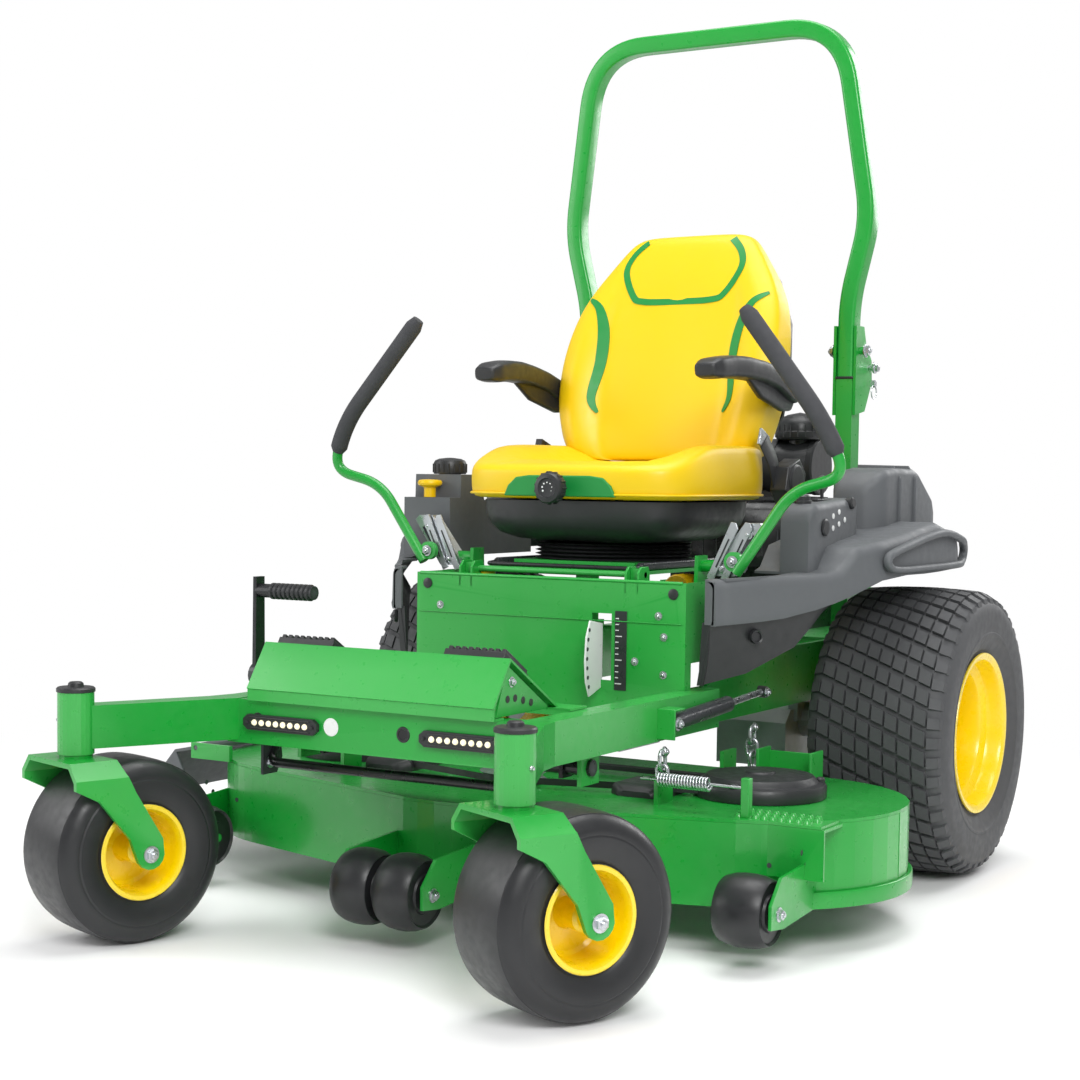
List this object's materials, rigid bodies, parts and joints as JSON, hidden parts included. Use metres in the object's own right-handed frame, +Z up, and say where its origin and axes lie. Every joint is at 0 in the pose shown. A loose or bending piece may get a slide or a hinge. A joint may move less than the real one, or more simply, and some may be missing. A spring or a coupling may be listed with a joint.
{
  "type": "zero turn mower",
  "caption": "Ride-on zero turn mower with a side-discharge deck, swivelling front casters, twin lap-bar levers, sprung seat and a folding roll bar.",
  "frame": {"origin": "middle of the footprint, on the ground", "axes": "+X operator's left, -Y front (the casters), +Z up"},
  "size_m": [1.6072, 2.1662, 1.8321],
  "materials": {
    "black_paint": "satin",
    "black_plastic": "matte",
    "bright_steel": "satin",
    "cast_aluminium": "cast",
    "foam": "matte",
    "green_paint": "semi-gloss",
    "roller_plastic": "matte",
    "seat_vinyl": "satin",
    "tyre": "matte",
    "yellow_paint": "gloss",
    "yellow_plastic": "gloss"
  },
  "bodies": {
    "chassis": {"left_frame_rail": "green_paint", "right_frame_rail": "green_paint", "front_axle": "green_paint", "rear_frame": "green_paint", "foot_platform": "green_paint", "front_panel": "green_paint", "left_headlight": "black_plastic", "right_headlight": "black_plastic", "left_fender": "black_plastic", "right_fender": "black_plastic", "fuel_tank": "black_plastic", "engine": "black_paint", "air_cleaner": "black_plastic", "left_drive_unit": "cast_aluminium", "right_drive_unit": "cast_aluminium", "left_rops_post": "green_paint", "right_rops_post": "green_paint"},
    "left_fork": {"left_caster_fork": "green_paint"},
    "right_fork": {"right_caster_fork": "green_paint"},
    "left_caster_wheel": {"left_caster_tyre": "tyre", "left_caster_rim": "yellow_paint"},
    "right_caster_wheel": {"right_caster_tyre": "tyre", "right_caster_rim": "yellow_paint"},
    "left_drive_wheel": {"left_drive_tyre": "tyre", "left_drive_rim": "yellow_paint"},
    "right_drive_wheel": {"right_drive_tyre": "tyre", "right_drive_rim": "yellow_paint"},
    "roll_bar": {"rops_hoop": "green_paint"},
    "left_lock_pin": {"left_rops_pin": "bright_steel"},
    "right_lock_pin": {"right_rops_pin": "bright_steel"},
    "left_lever": {"left_lever_bracket": "bright_steel"},
    "right_lever": {"right_lever_bracket": "bright_steel"},
    "left_bar": {"left_lap_bar": "green_paint", "left_lap_bar_grip": "foam"},
    "right_bar": {"right_lap_bar": "green_paint", "right_lap_bar_grip": "foam"},
    "pedal": {"lift_pedal": "black_paint"},
    "deck_lift_shaft": {"lift_shaft": "black_paint"},
    "deck": {"deck_top": "green_paint", "deck_front_skirt": "green_paint", "deck_rear_skirt": "green_paint", "left_belt_cover": "black_plastic", "right_belt_cover": "black_plastic"},
    "chute": {"discharge_chute": "black_plastic"},
    "left_spindle": {"left_blade": "bright_steel"},
    "center_spindle": {"center_blade": "bright_steel"},
    "right_spindle": {"right_blade": "bright_steel"},
    "front_roller_pair": {"front_rollers": "roller_plastic"},
    "left_gauge_roller": {"left_side_roller": "roller_plastic"},
    "right_gauge_roller": {"right_side_roller": "roller_plastic"},
    "seat_tilt_base": {"seat_base": "green_paint"},
    "seat": {"seat_pan": "black_plastic", "seat_cushion": "seat_vinyl", "seat_back": "seat_vinyl"},
    "left_arm": {"left_armrest": "black_plastic"},
    "right_arm": {"right_armrest": "black_plastic"},
    "seat_knob": {"suspension_knob": "black_plastic"},
    "throttle": {"throttle_lever": "black_paint"},
    "pto_switch": {"pto_knob": "yellow_plastic"},
    "tank_cap": {"fuel_cap": "black_plastic"}
  },
  "joints": [
    {"name": "left_caster_swivel", "type": "hinge", "parent": "chassis", "child": "left_fork", "pos_m": [0.50913, -0.99353, 0.335], "axis": [0, 0, 1], "continuous": true},
    {"name": "right_caster_swivel", "type": "hinge", "parent": "chassis", "child": "right_fork", "pos_m": [-0.38187, -0.99353, 0.335], "axis": [0, 0, 1], "continuous": true},
    {"name": "left_caster_spin", "type": "hinge", "parent": "left_fork", "child": "left_caster_wheel", "pos_m": [0.54888, -0.91167, 0.1625], "axis": [0.8996, -0.4368, 0], "continuous": true},
    {"name": "right_caster_spin", "type": "hinge", "parent": "right_fork", "child": "right_caster_wheel", "pos_m": [-0.35435, -0.90679, 0.1625], "axis": [0.9532, -0.3024, 0], "continuous": true},
    {"name": "left_drive_spin", "type": "hinge", "parent": "chassis", "child": "left_drive_wheel", "pos_m": [0.60863, 0.49407, 0.3], "axis": [1, 0, 0], "continuous": true},
    {"name": "right_drive_spin", "type": "hinge", "parent": "chassis", "child": "right_drive_wheel", "pos_m": [-0.48137, 0.49407, 0.3], "axis": [1, 0, 0], "continuous": true},
    {"name": "roll_bar_fold", "type": "hinge", "parent": "chassis", "child": "roll_bar", "pos_m": [0.06363, 0.59357, 1.106], "axis": [-1, 0, 0], "range_deg": [0, 95]},
    {"name": "left_lock_pin_pull", "type": "slide", "parent": "chassis", "child": "left_lock_pin", "axis": [1, 0, 0], "range_m": [0, 0.025]},
    {"name": "right_lock_pin_pull", "type": "slide", "parent": "chassis", "child": "right_lock_pin", "axis": [-1, 0, 0], "range_m": [0, 0.025]},
    {"name": "left_lever_drive", "type": "hinge", "parent": "chassis", "child": "left_lever", "pos_m": [0.36363, 0.00407, 0.652], "axis": [1, 0, 0], "range_deg": [-8, 8]},
    {"name": "right_lever_drive", "type": "hinge", "parent": "chassis", "child": "right_lever", "pos_m": [-0.23637, 0.00407, 0.652], "axis": [1, 0, 0], "range_deg": [-8, 8]},
    {"name": "left_bar_swing", "type": "hinge", "parent": "left_lever", "child": "left_bar", "pos_m": [0.41763, -0.03593, 0.664], "axis": [0, 1, 0], "range_deg": [-30, 0]},
    {"name": "right_bar_swing", "type": "hinge", "parent": "right_lever", "child": "right_bar", "pos_m": [-0.29037, -0.03593, 0.664], "axis": [0, -1, 0], "range_deg": [-30, 0]},
    {"name": "deck_lift", "type": "slide", "parent": "chassis", "child": "deck", "axis": [0, 0, 1], "range_m": [-0.025, 0.025]},
    {"name": "lift_shaft_turn", "type": "hinge", "parent": "chassis", "child": "deck_lift_shaft", "pos_m": [0.06363, -0.51593, 0.318], "axis": [1, 0, 0], "range_deg": [-15, 15]},
    {"name": "lift_pedal_turn", "type": "hinge", "parent": "chassis", "child": "pedal", "pos_m": [-0.27637, -0.60593, 0.447], "axis": [1, 0, 0], "range_deg": [-18, 18]},
    {"name": "chute_flip", "type": "hinge", "parent": "deck", "child": "chute", "pos_m": [-0.64337, -0.15593, 0.253], "axis": [0, 1, 0], "range_deg": [0, 80]},
    {"name": "left_blade_spin", "type": "hinge", "parent": "deck", "child": "left_spindle", "pos_m": [0.52863, -0.14593, 0.2], "axis": [0, 0, 1], "continuous": true},
    {"name": "center_blade_spin", "type": "hinge", "parent": "deck", "child": "center_spindle", "pos_m": [0.06863, -0.27593, 0.2], "axis": [0, 0, 1], "continuous": true},
    {"name": "right_blade_spin", "type": "hinge", "parent": "deck", "child": "right_spindle", "pos_m": [-0.39137, -0.14593, 0.2], "axis": [0, 0, 1], "continuous": true},
    {"name": "front_rollers_spin", "type": "hinge", "parent": "deck", "child": "front_roller_pair", "pos_m": [0.06863, -0.69593, 0.1], "axis": [1, 0, 0], "continuous": true},
    {"name": "left_roller_spin", "type": "hinge", "parent": "deck", "child": "left_gauge_roller", "pos_m": [0.66863, -0.49593, 0.1], "axis": [1, 0, 0], "continuous": true},
    {"name": "right_roller_spin", "type": "hinge", "parent": "deck", "child": "right_gauge_roller", "pos_m": [-0.53137, -0.49593, 0.1], "axis": [1, 0, 0], "continuous": true},
    {"name": "seat_tilt", "type": "hinge", "parent": "chassis", "child": "seat_tilt_base", "pos_m": [0.06363, -0.12393, 0.636], "axis": [1, 0, 0], "range_deg": [0, 55]},
    {"name": "seat_suspension", "type": "slide", "parent": "seat_tilt_base", "child": "seat", "axis": [0, 0, 1], "range_m": [-0.03, 0], "stiffness_N_per_m": 50000, "springref_m": 0.02},
    {"name": "left_armrest_flip", "type": "hinge", "parent": "seat", "child": "left_arm", "pos_m": [0.34363, 0.38407, 1.004], "axis": [-1, 0, 0], "range_deg": [0, 60]},
    {"name": "right_armrest_flip", "type": "hinge", "parent": "seat", "child": "right_arm", "pos_m": [-0.21637, 0.38407, 1.004], "axis": [-1, 0, 0], "range_deg": [0, 60]},
    {"name": "seat_knob_turn", "type": "hinge", "parent": "seat", "child": "seat_knob", "pos_m": [0.06363, -0.13593, 0.801], "axis": [0, 1, 0], "range_deg": [-150, 150]},
    {"name": "throttle_turn", "type": "hinge", "parent": "chassis", "child": "throttle", "pos_m": [0.49863, 0.19407, 0.764], "axis": [1, 0, 0], "range_deg": [-20, 20]},
    {"name": "pto_pull", "type": "slide", "parent": "chassis", "child": "pto_switch", "axis": [0, 0, 1], "range_m": [0, 0.008]},
    {"name": "tank_cap_turn", "type": "hinge", "parent": "chassis", "child": "tank_cap", "pos_m": [-0.34137, 0.11407, 0.84], "axis": [0, 0, 1], "range_deg": [0, 120]}
  ],
  "couplings": [
    {"joint": "lift_shaft_turn", "follows": "deck_lift", "rad_per_m": 10},
    {"joint": "lift_pedal_turn", "follows": "deck_lift", "rad_per_m": 12.2},
    {"joint": "center_blade_spin", "follows": "left_blade_spin", "ratio": 1},
    {"joint": "right_blade_spin", "follows": "left_blade_spin", "ratio": 1}
  ]
}
